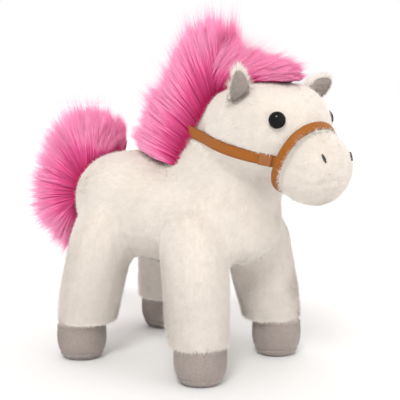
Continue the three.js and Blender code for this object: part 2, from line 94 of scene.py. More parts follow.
class Surface:
    """One material. Its node method adds any node: type, settings, then values or links for its inputs."""

    def __init__(self, name, **fixed):
        self.material = bpy.data.materials.new(name)
        self.material.use_nodes = True
        self.tree = self.material.node_tree
        self.shader = self.tree.nodes["Principled BSDF"]
        self.show(**fixed)

    def fill(self, node, inputs):
        for key, value in inputs.items():
            socket = node.inputs[key]
            if isinstance(value, Value):
                self.tree.links.new(value.socket, socket)
            else:
                socket.default_value = value

    def node(self, kind, settings=None, inputs=None, out=0):
        node = self.tree.nodes.new(kind)
        for key, value in (settings or {}).items():
            setattr(node, key, value)
        self.fill(node, inputs or {})
        return Value(self, node.outputs[out])

    def mix(self, share, first, second):
        inputs = {"Factor": share, 6: first, 7: second}
        return self.node("ShaderNodeMix", {"data_type": "RGBA"}, inputs, out=2)

    def noise(self, scale, detail=3.0):
        place = self.node("ShaderNodeTexCoord", out="Object")
        return self.node("ShaderNodeTexNoise", None, {"Vector": place, "Scale": scale, "Detail": detail})

    def speckle(self, scale, first, second, detail=3.0):
        """The base colour wanders between two colours, as dyed cloth does."""
        return self.show(Base_Color=self.mix(self.noise(scale, detail), (*first, 1), (*second, 1)))

    def show(self, **inputs):
        self.fill(self.shader, {k.replace("_", " "): v for k, v in inputs.items()})
        return self.material


white_cloth = Surface("white_cloth", Roughness=0.95, Sheen_Weight=0.3, Sheen_Roughness=0.6)
white_cloth.speckle(220, (0.92, 0.85, 0.77), (0.96, 0.90, 0.83))


def placed(name, mesh, material, normals=None):
    """The object of a mesh, smooth-shaded in one material, with its own normals where they are given."""
    mesh.materials.append(material)
    mesh.shade_smooth()
    if normals is not None:
        mesh.normals_split_custom_set_from_vertices(normals.astype(np.float32))
    made = bpy.data.objects.new(name, mesh)
    bpy.context.scene.collection.objects.link(made)
    return made


def mesh_object(name, points, faces, material, normals=None):
    mesh = bpy.data.meshes.new(name)
    mesh.from_pydata([tuple(p) for p in points], [], [tuple(int(i) for i in f) for f in faces])
    return placed(name, mesh, material, normals)


def hull(nodes, grow):
    """The outer shape of some CAD nodes, each taken as a convex form grown by a margin: points and faces."""
    points, faces = [], []
    for node in nodes:
        form = bmesh.new()
        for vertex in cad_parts[node].data.vertices:
            form.verts.new(vertex.co)
        bmesh.ops.remove_doubles(form, verts=form.verts, dist=1e-5)
        made = bmesh.ops.convex_hull(form, input=form.verts, use_existing_faces=False)
        spare = {g for g in made["geom_interior"] + made["geom_unused"] if isinstance(g, bmesh.types.BMVert)}
        bmesh.ops.delete(form, geom=list(spare), context="VERTS")
        form.normal_update()
        form.verts.index_update()
        base = len(points)
        points += [v.co + v.normal * grow for v in form.verts]
        faces += [[base + v.index for v in f.verts] for f in form.faces]
        form.free()
    return points, faces


def fused(points, faces, voxel, material):
    """One closed form drawn over some overlapping ones, as a bmesh."""
    rough = mesh_object("rough", points, faces, material)
    remesh = rough.modifiers.new("remesh", "REMESH")
    remesh.mode, remesh.voxel_size = "VOXEL", voxel
    form = bmesh.new()
    form.from_mesh(rough.evaluated_get(bpy.context.evaluated_depsgraph_get()).to_mesh())
    bpy.data.objects.remove(rough)
    return form


def keep_largest(form):
    """Leaves only the island with the most points, without the shells of the hollows inside it."""
    left, largest = set(form.verts), set()
    while left:
        island, queue = set(), [left.pop()]
        while queue:
            vertex = queue.pop()
            island.add(vertex)
            near = {edge.other_vert(vertex) for edge in vertex.link_edges} & left
            left -= near
            queue += near
        largest = max(largest, island, key=len)
    bmesh.ops.delete(form, geom=[v for v in form.verts if v not in largest], context="VERTS")


def arrays_of(form):
    """A bmesh's points, four-sided faces and edges. The bmesh is freed."""
    form.verts.index_update()
    points = np.array([v.co for v in form.verts])
    faces = np.array([[v.index for v in f.verts] for f in form.faces if len(f.verts) == 4])
    edges = np.array([[v.index for v in e.verts] for e in form.edges])
    form.free()
    return points, faces, edges


skin_grow, skin_voxel = 0.0016, 0.0017
leg_names = [f"{side}_{end}_leg" for side in ("right", "left") for end in ("fore", "hind")]
skin_groups = {
    "trunk": ["trunk_cover"],
    "neck": ["neck_cover"],
    "head": ["head_cover", "muzzle_cover"],
    **{leg: [f"{leg}_cover"] for leg in leg_names},
}
group_names = list(skin_groups)
all_points, all_faces, group_trees = [], [], []
for nodes in skin_groups.values():
    points, faces = hull(nodes, skin_grow)
    group_trees.append(BVHTree.FromPolygons(points, faces))
    all_faces += [[i + len(all_points) for i in f] for f in faces]
    all_points += points
body = fused(all_points, all_faces, skin_voxel, white_cloth.material)
keep_largest(body)
skin, skin_faces, skin_edges = arrays_of(body)


def unit(vectors):
    return vectors / np.maximum(np.linalg.norm(vectors, axis=-1, keepdims=True), 1e-9)


def smoothed(points, edges, rounds, weight=1.0):
    """The points drawn toward the middle of their neighbours, by half the way in each round."""
    count = len(points)
    degree = np.bincount(edges.ravel(), minlength=count)[:, None]
    first, second = edges.T
    for _ in range(rounds):
        around = np.stack([
            np.bincount(first, points[second, k], count) + np.bincount(second, points[first, k], count)
            for k in range(3)
        ], 1)
        points = points + 0.5 * weight * (around / degree - points)
    return points


def point_normals(points, faces):
    across = np.cross(points[faces[:, 2]] - points[faces[:, 0]], points[faces[:, 3]] - points[faces[:, 1]])
    total = np.zeros_like(points)
    for corner in range(4):
        for k in range(3):
            total[:, k] += np.bincount(faces[:, corner], across[:, k], len(points))
    return unit(total)


# Each point belongs to the form that it lies nearest to. The neck's seam with the trunk is smoothed most.
body_rounds, seam_rounds, seam_reach = 14, 70, 0.012
seam_point, seam_normal = np.array(origin) + [0.036, 0, 0.133], np.array([0.4205, 0, 0.9073])
owner = np.array([[tree.find_nearest(Vector(p))[3] for p in skin] for tree in group_trees]).argmin(0)
skin = smoothed(skin, skin_edges, body_rounds)
seam_near = np.exp(-((((skin - seam_point) @ seam_normal) / seam_reach) ** 2))[:, None]
seam_near *= np.isin(owner, [group_names.index("trunk"), group_names.index("neck")])[:, None]
skin = smoothed(skin, skin_edges, seam_rounds, seam_near)
normals = point_normals(skin, skin_faces)


def drift(points, size, seed):
    """A smooth random vector field whose swirls are about size metres across."""
    waves = np.random.default_rng(seed)
    total = np.zeros_like(points)
    for _ in range(5):
        wave = waves.normal(size=(3, 3)) * 2.6 / size
        total += np.sin(points @ wave + waves.uniform(0, 6.28, 3))
    return total / 2.2


def seen_from_head(places):
    return (np.c_[places, np.ones(len(places))] @ np.array(head_frame.inverted()).T)[:, :3]


def ramp(values, start, reach):
    """0 up to a start, and from there rising to 1 over a reach."""
    return np.clip((values - start) / reach, 0, 1)


# The top of the pile lies where the CAD forms do, and the cloth below it. A faint crease marks the mouth.
pile_depth = 0.0022
crease_depth, crease_width, crease_drop, crease_curve = 0.0006, 0.0017, 0.0155, 6.0
crease_start, crease_fade = 0.078, 0.012
swell_height, swell_size, swell_seed = 0.0006, 0.045, 3
pile_top = [Vector(p) for p in skin - normals * skin_grow]
head_faces = skin_faces[(owner[skin_faces] == group_names.index("head")).all(1)]
pile_tree = BVHTree.FromPolygons(pile_top, skin_faces.tolist())
head_tree = BVHTree.FromPolygons(pile_top, head_faces.tolist())
ahead, aside, above = seen_from_head(skin).T
crease = np.exp(-(((above + crease_drop + crease_curve * aside**2) / crease_width) ** 2))
crease *= ramp(ahead, crease_start, crease_fade) * (owner == group_names.index("head"))
skin = skin - normals * (skin_grow + pile_depth + crease_depth * crease[:, None])
skin += normals * swell_height * drift(skin, swell_size, swell_seed)[:, :1]
normals = point_normals(skin, skin_faces)

# Each piece rides on one body, or, where it spans from one body to the next between two points, has its place
# baked into its mesh
hip_aside, hip_height, leg_gap, leg_bend = 0.037, 0.101, 0.001, 0.03
neck_gap, neck_bend, neck_split = 0.0005, 0.018, 0.0185
hips = {}
for end, hip_ahead in (("fore", 0.038), ("hind", -0.044)):
    for side, left in (("right", -1), ("left", 1)):
        hips[f"{side}_{end}_leg"] = np.array(origin) + [hip_ahead, left * hip_aside, hip_height]


def along_border(first, second, direction):
    """How far along a direction the points lie where two forms' parts of the skin meet."""
    corners = owner[skin_faces]
    both = (corners == group_names.index(first)).any(1) & (corners == group_names.index(second)).any(1)
    return skin[np.unique(skin_faces[both])] @ direction


attachments = {"trunk": ("trunk",), "head": ("head",)}
for leg, hip in hips.items():
    direction = np.array([0, 0.7 * np.sign(hip[1] - origin.y), -0.71])
    start = along_border("trunk", leg, direction).max() + leg_gap
    attachments[leg] = ("trunk", leg, direction * start, direction * (start + leg_bend))
low_seam = along_border("trunk", "neck", seam_normal).max() + neck_gap
nod_direction = unit(np.array(head_frame.to_3x3() @ Vector((0.557, 0, 0.83))))
top_seam = along_border("neck", "head", nod_direction).min() - neck_gap
attachments["neck"] = ("trunk", "neck", seam_normal * low_seam, seam_normal * (low_seam + neck_bend))
attachments["upper_neck"] = ("neck", "head", nod_direction * (top_seam - neck_bend), nod_direction * top_seam)
group_names.append("upper_neck")
upper = (owner == group_names.index("neck")) & (skin @ seam_normal > low_seam + neck_split)
owner[upper] = group_names.index("upper_neck")


def attach(piece, place):
    if len(attachments[place]) == 1:
        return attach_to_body(piece, attachments[place][0])
    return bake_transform(piece)


# A face goes to the form that most of its corners belong to, and to the first of two that share it evenly
face_owner = np.array([np.bincount(row, minlength=len(group_names)).argmax() for row in owner[skin_faces]])
skins = {}
for index, place in enumerate(group_names):
    faces = skin_faces[(face_owner == index) & ((owner[skin_faces] == index).sum(1) >= 2)]
    used, compact = np.unique(faces, return_inverse=True)
    compact = compact.reshape(faces.shape)
    made = mesh_object(f"{place}_skin", skin[used], compact, white_cloth.material, normals[used])
    attach(made, place)
    skins[place] = (made, skin[used], compact, normals[used])
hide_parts("trunk_cover", "trunk_filling")
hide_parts("neck_cover", "neck_filling")
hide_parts("head_cover", "head_filling", "muzzle_cover", "muzzle_filling")
for leg in hips:
    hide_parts(f"{leg}_cover", f"{leg}_filling")

# White pile: the plush's cut pile is about 3 mm long, brushed back and down, and gathers into small tufts.
# Every strand is a ribbon with its root in the skin. The straps press the pile down, and none grows under
# them or under the eyes, so their places come first.
random = np.random.default_rng(7)


def fibre_with_painted_shade(name, root, middle, tip, **fixed):
    """The material of a pile: the UV map's V runs up each strand, and its U holds the strand's own tone. Each
    strand's foot is drawn in its darker root colour as painted shade between the strands.
    """
    surface = Surface(name, **fixed)
    uv = surface.node("ShaderNodeUVMap", {"uv_map": "OFBake"})
    tone = surface.node("ShaderNodeSeparateXYZ", None, {0: uv})
    along = Value(surface, tone.socket.node.outputs["Y"])
    foot = surface.node("ShaderNodeClamp", None, {"Value": along * 2 - 0.2})
    ends = surface.node("ShaderNodeClamp", None, {"Value": along * 2 - 1})
    # the root colour is painted shade at the foot of each strand; up the strand it gives way to the middle
    # colour, then the tip colour
    colour = surface.mix(ends, surface.mix(foot, (*root, 1), (*middle, 1)), (*tip, 1))
    shade = surface.node("ShaderNodeHueSaturation", None, {"Color": colour, "Value": tone * 0.26 + 0.87})
    return surface.show(Base_Color=shade)


# white pile: the darker root colour is painted shade at the foot of the strands
white_pile = fibre_with_painted_shade("white_pile", (0.94, 0.86, 0.78), (0.98, 0.91, 0.84), (0.99, 0.93, 0.87),
                   Roughness=0.9, Sheen_Weight=0.3, Sheen_Roughness=0.5)


def strands(
    name, material, roots, normals, headings, lengths, width, segments, bend, tone, spin, relief, upward
):
    """One mesh of tapered ribbons, a strand for every root, lit much as the surface that they stand on."""
    count, taper = len(roots), 0.75
    headings, lengths = unit(headings), np.broadcast_to(lengths, count)
    turn = random.uniform(-spin, spin, (count, 1))
    side = unit(np.cross(headings, normals) + 1e-6)
    rise = unit(np.cross(side, headings))
    across = side * np.cos(turn) + rise * np.sin(turn)
    flat = unit(np.cross(headings, across))
    flat *= np.where((flat * normals).sum(1, keepdims=True) < 0, -1, 1)
    across = unit(np.cross(headings, flat))
    rows, facing = [], []
    for step in range(segments + 1):
        t = step / segments
        middle = roots + lengths[:, None] * (headings * t + bend * t * t)
        half = width / 2 * (1 - taper * t**1.5)
        soft = unit(normals + headings * upward * t + flat * relief)
        for sign in (-1, 1) if step < segments else (0,):
            rows.append(middle + across * half * sign)
            facing.append(soft)
    points = np.stack(rows, 1).reshape(-1, 3)
    facing = np.stack(facing, 1).reshape(-1, 3)

    # each strand is a chain of quads that ends in a triangle
    tip = 2 * segments
    quads = [[2 * k, 2 * k + 1, 2 * k + 3, 2 * k + 2] for k in range(segments - 1)]
    corners = np.array([i for quad in quads for i in quad] + [tip - 2, tip - 1, tip])
    loops = np.arange(count)[:, None] * (tip + 1) + corners
    starts = np.arange(count)[:, None] * len(corners) + 4 * np.arange(segments)
    mesh = bpy.data.meshes.new(name)
    mesh.vertices.add(len(points))
    mesh.vertices.foreach_set("co", points.astype(np.float32).ravel())
    mesh.loops.add(loops.size)
    mesh.loops.foreach_set("vertex_index", loops.ravel().astype(np.int32))
    mesh.polygons.add(starts.size)
    mesh.polygons.foreach_set("loop_start", starts.ravel().astype(np.int32))
    mesh.update(calc_edges=True)

    # the UV map stays a little inside its square, and each strand has a narrow column of it
    heights = np.minimum(corners // 2, segments) / segments
    sides = np.where(corners < tip, corners % 2, 0.5)
    u = 0.02 + 0.95 * np.clip(tone, 0, 1)[:, None] + 0.004 * sides
    v = np.broadcast_to(0.01 + 0.98 * heights, u.shape)
    layer = mesh.uv_layers.new(name="OFBake")
    layer.data.foreach_set("uv", np.stack([u, v], -1).astype(np.float32).ravel())
    return placed(name, mesh, material, facing)


def scatter(points, faces, point_normal, density, seed):
    """Random roots spread evenly over quads, so many for each square millimetre: places and normals."""
    spread = np.random.default_rng(seed)
    triangles = np.concatenate([faces[:, [0, 1, 2]], faces[:, [0, 2, 3]]])
    a, b, c = (points[triangles[:, k]] for k in range(3))
    area = np.linalg.norm(np.cross(b - a, c - a), axis=1) / 2
    count = int(area.sum() * 1e6 * density)
    pick = spread.choice(len(triangles), count, p=area / area.sum())
    r, s = np.sqrt(spread.uniform(0, 1, (count, 1))), spread.uniform(0, 1, (count, 1))
    shares = np.concatenate([1 - r, r * (1 - s), r * s], 1)
    places = sum(points[triangles[pick, k]] * shares[:, k:k + 1] for k in range(3))
    facing = unit(sum(point_normal[triangles[pick, k]] * shares[:, k:k + 1] for k in range(3)))
    return places, facing


tuft_size, tuft_pull = 0.0042, 0.12
swirl_size, swirl, stray = 0.03, 0.3, 0.35
slope_spread, pile_spin, pile_upward = 7, 0.12, 0.2
shortest, length_range, tuft_shortest, tuft_range = 0.85, 0.3, 0.96, 0.08
tuft_tone, strand_tone = 0.2, 0.16
upright_share, upright_slope, upright_length = 0.035, 0.5, 1.1


def tufts(places, seed):
    """For each root, the middle of the tuft that it leans into, and that tuft's own random number."""
    cells = np.floor(places / tuft_size).astype(np.int64)
    keys = (cells * [73856093, 19349663, 83492791]).sum(1) + seed
    shift = np.stack([np.modf(np.abs(np.sin(keys * k)) * 43758.5)[0] for k in (0.0137, 0.0291, 0.0173)], 1)
    return (cells + shift) * tuft_size, shift[:, 0]


def level_with(facing, vectors):
    """The vectors without their part along the surface's normals."""
    return vectors - facing * (vectors * facing).sum(1, keepdims=True)


def short_pile(name, material, where, length, width, lean, comb, seed):
    """Cut pile over a surface: its strands lean along the comb by so many degrees from standing straight."""
    roots, facing = where
    middle, chance = tufts(roots, seed)
    sway = unit(comb + swirl * drift(roots, swirl_size, seed) + stray * random.normal(size=roots.shape))
    gather = level_with(facing, (middle - roots) / tuft_size)
    slope = np.radians(lean + slope_spread * random.normal(size=(len(roots), 1)))
    upright = random.uniform(size=slope.shape) < upright_share
    slope = np.where(upright, slope * upright_slope, slope)
    headings = facing * np.cos(slope) + unit(level_with(facing, sway)) * np.sin(slope) + tuft_pull * gather
    lengths = length * (shortest + length_range * random.uniform(size=len(roots)))
    lengths = lengths * (tuft_shortest + tuft_range * chance) * np.where(upright[:, 0], upright_length, 1)
    tone = 0.5 + tuft_tone * (chance - 0.5) + strand_tone * random.normal(size=len(roots))
    return strands(name, material, roots, facing, headings, lengths, width, 1, 0.0, tone, pile_spin, 0.0,
                   pile_upward)


# The eyes: where each CAD eye's dome ends, and the way that it looks
eyes = {}
inside_head = np.array(head_frame @ Vector((0.02, 0, 0.014)))
for side in ("right", "left"):
    eye_points = np.array([v.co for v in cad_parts[f"{side}_eye"].data.vertices])
    centre = eye_points.mean(0)
    spans, turns = np.linalg.eigh(np.cov((eye_points - centre).T))
    out = turns[:, 0 if spans[1] - spans[0] > spans[2] - spans[1] else 2]
    out *= np.sign(out @ (centre - inside_head))
    eyes[side] = (Vector(centre + out * ((eye_points - centre) @ out).max()), Vector(out))

# The straps' centre lines: where a flat plane through the head meets the top of its pile
strap_sink = 0.0008


def loop_line(tree, centre, normal, first, last, steps, start, offsets=(0.0,)):
    """Points round the head from one angle to another, the way out at each, and the plane's normal."""
    normal = (head_frame.to_3x3() @ Vector(normal)).normalized()
    left = (head_frame.to_3x3() @ Vector((0, 1, 0))).normalized()
    ahead = left.cross(normal).normalized()
    middle = head_frame @ Vector(centre)
    angles = np.radians(first + (last - first) * np.arange(steps + 1) / steps)
    outs = np.array(ahead) * np.cos(angles)[:, None] + np.array(left) * np.sin(angles)[:, None]
    reach = []
    for angle in angles:
        out = ahead * math.cos(angle) + left * math.sin(angle)
        hits = [tree.ray_cast(middle + normal * offset + out * start, -out)[3] or start for offset in offsets]
        reach.append(start - min(hits))
    reach = np.array(reach)
    for _ in range(3):
        reach[1:-1] = (reach[:-2] + 2 * reach[1:-1] + reach[2:]) / 4
    return np.array(middle) + outs * (reach - strap_sink)[:, None], outs, np.array(normal)


nose_line, nose_outs, nose_normal = loop_line(
    head_tree, centre=(0.060, 0, -0.004), normal=(0.8746, 0, -0.4848), first=-180, last=177, steps=119,
    start=0.045, offsets=(-0.003, 0, 0.003))
cheek_line, cheek_outs, cheek_normal = loop_line(
    pile_tree, centre=(0.012, 0, 0.0067), normal=(0.2365, 0, 0.9716), first=-333, last=-27, steps=178,
    start=0.062)

# Where the way of the pile changes: at the top of the legs, behind the head, round the neck, rump and chest
leg_top, leg_blend = 0.112, 0.03
head_back, head_blend, head_least = -0.012, 0.03, 0.12
neck_foot, neck_blend, neck_back = 0.125, 0.02, 0.01
rump_from, rump_blend, chest_from, chest_blend = 0.05, 0.035, 0.03, 0.03


def comb_at(places):
    """The way the pile is brushed: back along the head and the trunk, down the neck, chest, rump and legs."""
    own = seen_from_head(places)
    ahead, height = places[:, :1] - origin.x, places[:, 2:] - origin.z
    leg = ramp(leg_top - height, 0, leg_blend)
    head = ramp(own[:, :1] + 0.6 * own[:, 2:], head_back, head_blend) * (height > head_least)
    neck = ramp(height, neck_foot, neck_blend) * (ahead > neck_back) * (1 - head)
    trunk = (1 - leg) * (1 - head) * (1 - neck)
    rump, chest = ramp(-ahead, rump_from, rump_blend), ramp(ahead, chest_from, chest_blend)
    body = np.array([[-0.8, 0, -0.45]]) * (1 - rump - chest) + rump * [-0.15, 0, -1] + chest * [-0.1, 0, -1]
    back = np.array(head_frame.to_3x3() @ Vector((-0.9, 0, -0.2)))
    return leg * [0, 0, -1] + head * back + neck * [-0.35, 0, -0.9] + trunk * body


def nearest(line, places):
    return np.array([np.linalg.norm(line - place, axis=1).min() for place in places])


pile_lean, pile_width = 70, 0.00042
under_noseband, under_cheek_strap, under_eye = 0.0036, 0.0047, 0.0068
edge_reach, edge_lean = 0.0068, 46
low_leg, low_leg_fade, low_leg_rise, trimmed = 0.095, 0.045, 15, 0.0032
longer_when_raised = 0.018

# strands on each square millimetre, and how long they are
white_areas = {
    "trunk": (3.8, 0.0034),
    "neck": (4.2, 0.0034),
    "upper_neck": (4.2, 0.0034),
    "head": (4.8, 0.0031),
    **{leg: (5.0, 0.0034) for leg in hips},
}
for number, (place, (density, length)) in enumerate(white_areas.items()):
    _, points, faces, facing = skins[place]
    roots, root_normals = scatter(points, faces, facing, density, 40 + number)
    keep, lean = np.ones(len(roots), bool), np.full(len(roots), pile_lean)
    if place in ("head", "upper_neck"):
        from_noseband = nearest(nose_line, roots)
        keep &= (from_noseband > under_noseband) & (nearest(cheek_line, roots) > under_cheek_strap)
        # the muzzle's pile just ahead of the noseband stands up more, and hides the strap's edge
        ahead = (roots - nose_line.mean(0)) @ nose_normal > 0
        lean = np.where((from_noseband < edge_reach) & ahead, edge_lean, pile_lean)
        for apex, _ in eyes.values():
            keep &= np.linalg.norm(roots - np.array(apex), axis=1) > under_eye
    if place in hips:
        # so does the pile low on the legs, which fills them out, and three legs' fringes are trimmed
        lean = pile_lean - low_leg_rise * ramp(low_leg - (roots[:, 2] - origin.z), 0, low_leg_fade)
        fringe = 0 if place == "right_fore_leg" else trimmed
        keep &= roots[:, 2] > points[:, 2].min() + fringe
    where, lean = (roots[keep], root_normals[keep]), lean[keep]
    lengths = length * (1 + longer_when_raised * (pile_lean - lean))
    comb = comb_at(roots[keep])
    fur = short_pile(f"{place}_pile", white_pile, where, lengths, pile_width, lean[:, None], comb,
                     60 + number)
    attach(fur, place)

# Eyes: glossy black plastic domes about 12 mm across, one on each side of the head.
# Each is pushed through the cloth on a shank and held by a washer inside, so it sits in a dent of the pile.
eye_radius, dome_rise, rim_depth = 0.0057, 0.0035, 0.0005
round_eye, up_dome = 32, 12


def ring_faces(rings, around, closed=False, capped=False):
    """Four-sided faces between rings of points, and on to the first ring if closed, or the ends if capped."""
    pairs = [(r * around, (r + 1) % rings * around) for r in range(rings if closed else rings - 1)]
    wall = [
        [here + k, here + (k + 1) % around, after + (k + 1) % around, after + k]
        for here, after in pairs for k in range(around)
    ]
    last = (rings - 1) * around
    return wall + [list(range(around - 1, -1, -1)), list(range(last, last + around))] if capped else wall


black_plastic = Surface("eye_plastic", Roughness=0.05, Specular_IOR_Level=0.15)
black_plastic.speckle(300, (0.003, 0.003, 0.0035), (0.006, 0.0055, 0.0055))
for side, (apex, out) in eyes.items():
    turn = Vector((0, 0, 1)).rotation_difference(out).to_matrix()
    slopes = [a * math.pi / 2 / up_dome for a in range(1, up_dome)]
    dome = [(eye_radius, -dome_rise - rim_depth), (eye_radius, -dome_rise)]
    dome += [(eye_radius * math.cos(a), -dome_rise + dome_rise * math.sin(a)) for a in slopes]
    turns = [s * 2 * math.pi / round_eye for s in range(round_eye)]
    spokes = [(math.cos(angle), math.sin(angle)) for angle in turns]
    points = [apex + turn @ Vector((r * x, r * y, h)) for r, h in dome for x, y in spokes] + [apex.copy()]
    top = (len(dome) - 1) * round_eye
    faces = ring_faces(len(dome), round_eye)
    faces += [[top + s, top + (s + 1) % round_eye, len(points) - 1] for s in range(round_eye)]
    faces.append(list(range(round_eye - 1, -1, -1)))
    eye = mesh_object(f"{side}_eye_dome", points, faces, black_plastic.material)
    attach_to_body(eye, "head")
    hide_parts(f"{side}_eye")

# Bridle: flat straps of soft brown imitation leather, one round the muzzle and one from it round the head.
# They are cut from one sheet, with edges a little darker than the face, and lie sunk in the pile.
noseband_width, noseband_tilt, strap_width, strap_thickness = 0.0066, -0.35, 0.008, 0.0013
edge_from, edge_sharpness = 0.34, 6
leather = Surface("strap_leather", Roughness=0.5, Specular_IOR_Level=0.2)
leather_uv = leather.node("ShaderNodeUVMap", {"uv_map": "along"})
across = leather.node("ShaderNodeSeparateXYZ", None, {0: leather_uv}, out="Y")
middle_to_edge = (across - 0.5).math("ABSOLUTE") - edge_from
edge = leather.node("ShaderNodeClamp", None, {"Value": middle_to_edge * edge_sharpness})
face_colour = leather.mix(leather.noise(420, 6.0), (0.275, 0.084, 0.010, 1), (0.38, 0.125, 0.018, 1))
leather.show(Base_Color=leather.mix(edge, face_colour, (0.22, 0.07, 0.013, 1)))
grain = {"Strength": 0.25, "Distance": 0.0003, "Height": leather.noise(900, 2.0)}
leather.show(Normal=leather.node("ShaderNodeBump", None, grain))


def face_outward(made):
    form = bmesh.new()
    form.from_mesh(made.data)
    bmesh.ops.recalc_face_normals(form, faces=form.faces)
    form.to_mesh(made.data)
    form.free()


def strap(name, line, outs, normal, width, thickness, material, tilt=0.0, closed=False):
    """A flat strap with soft edges along a line, with a UV map that runs along and across it."""
    section = [
        (-0.5, 0.25), (-0.46, 0.85), (-0.3, 1.0), (0.3, 1.0),
        (0.46, 0.85), (0.5, 0.25), (0.46, 0), (-0.46, 0),
    ]
    points = []
    for here, out in zip(line, outs):
        wide, up = unit(normal + out * tilt), unit(out - normal * tilt)
        points += [here + wide * width * w + up * thickness * h for w, h in section]
    rings, n = len(line), len(section)
    made = mesh_object(name, points, ring_faces(rings, n, closed, capped=not closed), material)
    trail = np.r_[0, np.cumsum(np.linalg.norm(np.diff(line, axis=0), axis=1))]
    layer = made.data.uv_layers.new(name="along")
    for loop in made.data.loops:
        ring, k = divmod(loop.vertex_index, n)
        layer.data[loop.index].uv = (trail[ring], section[k][0] + 0.5)
    face_outward(made)
    return made


nose_strap = strap("noseband_strap", nose_line, nose_outs, nose_normal, noseband_width, strap_thickness,
                   leather.material, noseband_tilt, closed=True)
cheek = strap("cheek_strap_loop", cheek_line, cheek_outs, cheek_normal, strap_width, strap_thickness,
              leather.material)
for piece, node in ((nose_strap, "noseband"), (cheek, "cheek_strap")):
    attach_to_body(piece, "head")
    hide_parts(node)

# Folds: where the cheek strap meets the noseband, its end is doubled over and stitched down on each side.
# The doubled end is a little wider than the strap that it lies on, and a little duller in colour.
fold_width, fold_thickness, fold_rise, fold_steps = 0.0086, 0.0011, 0.0011, 7
fold_leather = Surface("fold_leather", Roughness=0.5, Specular_IOR_Level=0.3)
fold_leather.speckle(420, (0.28, 0.10, 0.03), (0.38, 0.145, 0.045), 6.0)
for side in ("right", "left"):
    low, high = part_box(f"{side}_strap_fold")
    order = np.linalg.norm(cheek_line - np.array((low + high) / 2), axis=1).argsort()[:fold_steps]
    order.sort()
    line = cheek_line[order] + cheek_outs[order] * fold_rise
    fold = strap(f"{side}_fold", line, cheek_outs[order], cheek_normal, fold_width, fold_thickness,
                 fold_leather.material)
    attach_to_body(fold, "head")
    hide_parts(f"{side}_strap_fold")

# Nostrils: a short slanted satin stitch of black thread on each side of the muzzle.
# The thread is drawn tight, so the stitch lies sunk among the pile and reads as a dark line.
stitch_half, stitch_radius, stitch_rise, stitch_sink = 0.0032, 0.0011, 0.0010, 0.0018
stitch_rings, round_stitch = 9, 10
black_thread = Surface("black_thread", Roughness=0.6)
black_thread.speckle(1500, (0.008, 0.007, 0.007), (0.035, 0.03, 0.03))
for side in ("right", "left"):
    stitch_points = [v.co.copy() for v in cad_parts[f"{side}_nostril_stitch"].data.vertices]
    pairs = ((a, b) for a in stitch_points for b in stitch_points)
    a, b = max(pairs, key=lambda pair: (pair[0] - pair[1]).length)
    long = (b - a).normalized()
    middle, out, _, _ = head_tree.find_nearest((a + b) / 2)
    wide = long.cross(out).normalized()
    points = []
    for ring in range(stitch_rings):
        share = ring / (stitch_rings - 1) * 2 - 1
        here = head_tree.find_nearest(middle + long * share * stitch_half)[0] - out * stitch_sink
        half = stitch_radius * math.sqrt(max(0.05, 1 - share * share))
        for q in range(round_stitch):
            turn = q * 2 * math.pi / round_stitch
            points.append(here + wide * half * math.cos(turn) + out * stitch_rise * math.sin(turn))
    faces = ring_faces(stitch_rings, round_stitch, capped=True)
    stitch = mesh_object(f"{side}_nostril", points, faces, black_thread.material)
    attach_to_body(stitch, "head")
    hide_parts(f"{side}_nostril_stitch")

# Ears: a leaf of white plush with longer pile round its rim, and a lining of grey short pile in its front, its
# grey drawn darker as painted shade inside the ear.
# The two are sewn together and turned, and the leaf is caught in the head's seam along its root.
leaf_voxel, leaf_rounds, leaf_shrink = 0.0008, 8, 0.0018
lining_voxel, lining_rounds, lining_shrink = 0.0007, 6, 0.0002
rim_clear, rim_density, rim_length, rim_width, rim_lean = 0.0016, 6, 0.0058, 0.0004, 40
nap_density, nap_length, nap_width, nap_lean = 8, 0.0021, 0.00034, 36
# the lining is grey plush drawn darker than the hooves' grey, as painted shade in the ear's hollow; its pile's
# darker root colour is painted shade too
lining_cloth_painted_shade = Surface("lining_cloth_painted_shade", Roughness=0.95)
lining_cloth_painted_shade.speckle(420, (0.29, 0.245, 0.22), (0.43, 0.37, 0.335))
lining_pile_painted_shade = fibre_with_painted_shade("lining_pile_painted_shade", (0.27, 0.23, 0.205), (0.51, 0.44, 0.40), (0.70, 0.61, 0.565),
                    Roughness=0.9)


def smooth_form(name, nodes, voxel, rounds, shrink, material):
    """A CAD node's outer shape, remeshed, smoothed and drawn in: object, points, faces and normals."""
    points, faces, edges = arrays_of(fused(*hull(nodes, 0), voxel, material))
    points = smoothed(points, edges, rounds)
    facing = point_normals(points, faces)
    points = points - facing * shrink
    return mesh_object(name, points, faces, material, facing), points, faces, facing


for number, side in enumerate(("right", "left")):
    leaf, points, faces, facing = smooth_form(
        f"{side}_ear_leaf", [f"{side}_ear_outer"], leaf_voxel, leaf_rounds, leaf_shrink, white_cloth.material)
    lining, lining_points, lining_faces, lining_facing = smooth_form(
        f"{side}_ear_inner", [f"{side}_ear_lining"],
        lining_voxel, lining_rounds, lining_shrink, lining_cloth_painted_shade.material)
    roots, root_normals = scatter(points, faces, facing, rim_density, 90 + number)
    lining_tree = BVHTree.FromPolygons([Vector(p) for p in lining_points], lining_faces.tolist())
    clear = np.array([lining_tree.find_nearest(Vector(p))[3] for p in roots]) > rim_clear
    where = (roots[clear], root_normals[clear])
    tip = np.array(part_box(f"{side}_ear_outer")[1] + Vector((0, 0, 0.01)))
    fur = short_pile(f"{side}_ear_pile", white_pile, where, rim_length, rim_width, rim_lean,
                     unit(tip - roots[clear]), 95 + number)
    where = scatter(lining_points, lining_faces, lining_facing, nap_density, 98 + number)
    grey = short_pile(f"{side}_ear_nap", lining_pile_painted_shade, where, nap_length, nap_width, nap_lean,
                      np.array([0, 0, 1.0]), 97 + number)
    for slot, pieces in (("white_plush", (leaf, fur)), ("grey_plush", (lining, grey))):
        for piece in pieces:
            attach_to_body(piece, f"{side}_ear")
    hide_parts(f"{side}_ear_outer")
    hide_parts(f"{side}_ear_lining")

